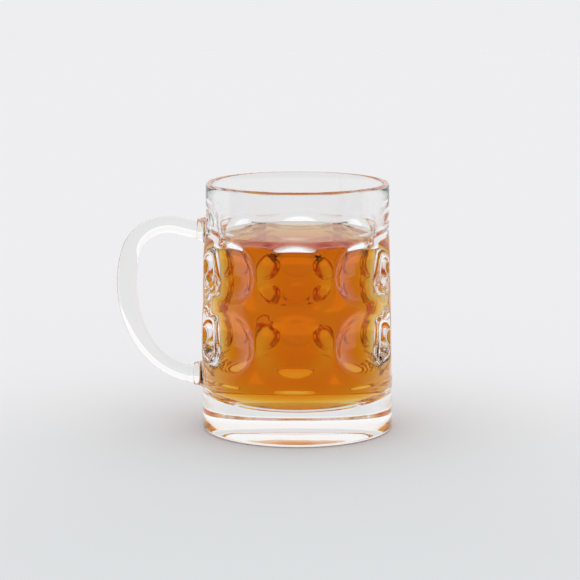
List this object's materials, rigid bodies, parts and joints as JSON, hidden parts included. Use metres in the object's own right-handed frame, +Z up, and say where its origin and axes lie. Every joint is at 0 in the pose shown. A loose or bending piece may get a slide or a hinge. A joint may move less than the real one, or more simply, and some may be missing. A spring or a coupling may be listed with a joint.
{
  "type": "dimpled beer mug",
  "caption": "Heavy clear glass beer mug with a plain collar, rows of pressed thumb dimples, a thick hollowed foot and a round glass handle fused on at two pads.",
  "frame": {"origin": "centre of the foot, on the surface that the mug stands on", "axes": "+Z up along the mug's own axis; the handle points along -X; Y runs across the handle"},
  "size_m": [0.1275, 0.088, 0.1143],
  "materials": {
    "body_glass": "fire-polished, clear",
    "handle_glass": "fire-polished, clear"
  },
  "bodies": {
    "root": {"glass_body": "body_glass", "handle": "handle_glass"}
  },
  "joints": []
}
